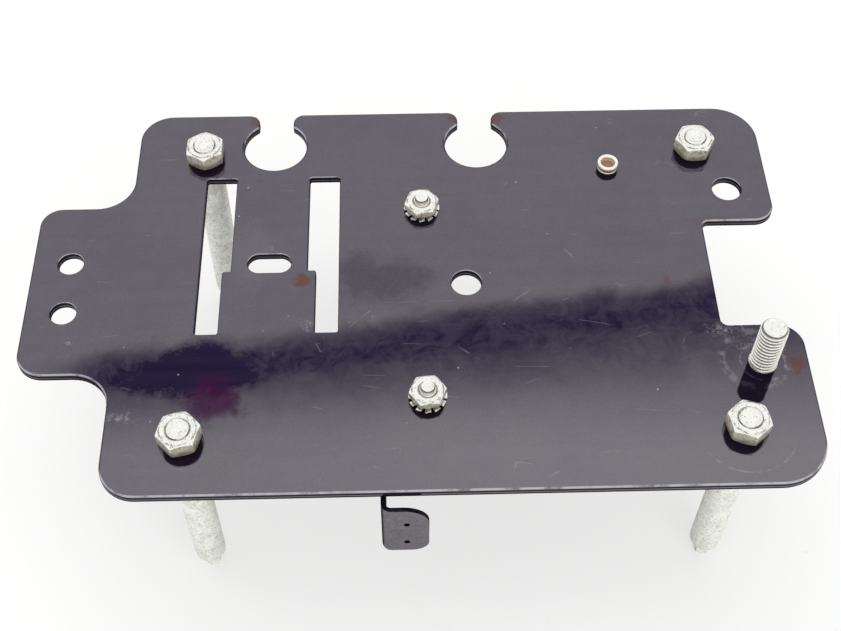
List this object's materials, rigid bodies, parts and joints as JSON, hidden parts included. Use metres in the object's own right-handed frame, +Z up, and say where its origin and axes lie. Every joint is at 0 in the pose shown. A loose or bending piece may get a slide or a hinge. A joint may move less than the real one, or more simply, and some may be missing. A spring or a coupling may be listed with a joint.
{
  "type": "motor mounting bracket",
  "caption": "Black painted sheet bracket for a motor: keyholes, stepped slots and a side notch in a flat plate on turned posts, with a threaded stud and a folded hanger below.",
  "frame": {"origin": "centre of the four posts, on the plane that their tips stand on", "axes": "+X along the plate towards the side notch, +Y towards the edge with the keyholes, +Z up along the posts and the stud"},
  "size_m": [0.2277, 0.1439, 0.0916],
  "materials": {
    "black_paint": "glossy black paint, lightly scratched",
    "bright_zinc": "bright zinc plate, pitted",
    "dull_zinc": "dull zinc plate, mottled"
  },
  "bodies": {
    "root": {"mounting_plate": "black_paint", "hanger_bracket": "black_paint", "threaded_stud": "bright_zinc", "hollow_pin": "bright_zinc", "post_front_left": "dull_zinc", "nut_front_left": "bright_zinc", "post_front_right": "dull_zinc", "nut_front_right": "bright_zinc", "post_rear_left": "dull_zinc", "nut_rear_left": "bright_zinc", "post_rear_right": "dull_zinc", "nut_rear_right": "bright_zinc", "tooth_washer_front": "bright_zinc", "lock_nut_front": "bright_zinc", "bracket_screw_front": "bright_zinc", "tooth_washer_rear": "bright_zinc", "lock_nut_rear": "bright_zinc", "bracket_screw_rear": "bright_zinc"}
  },
  "joints": []
}
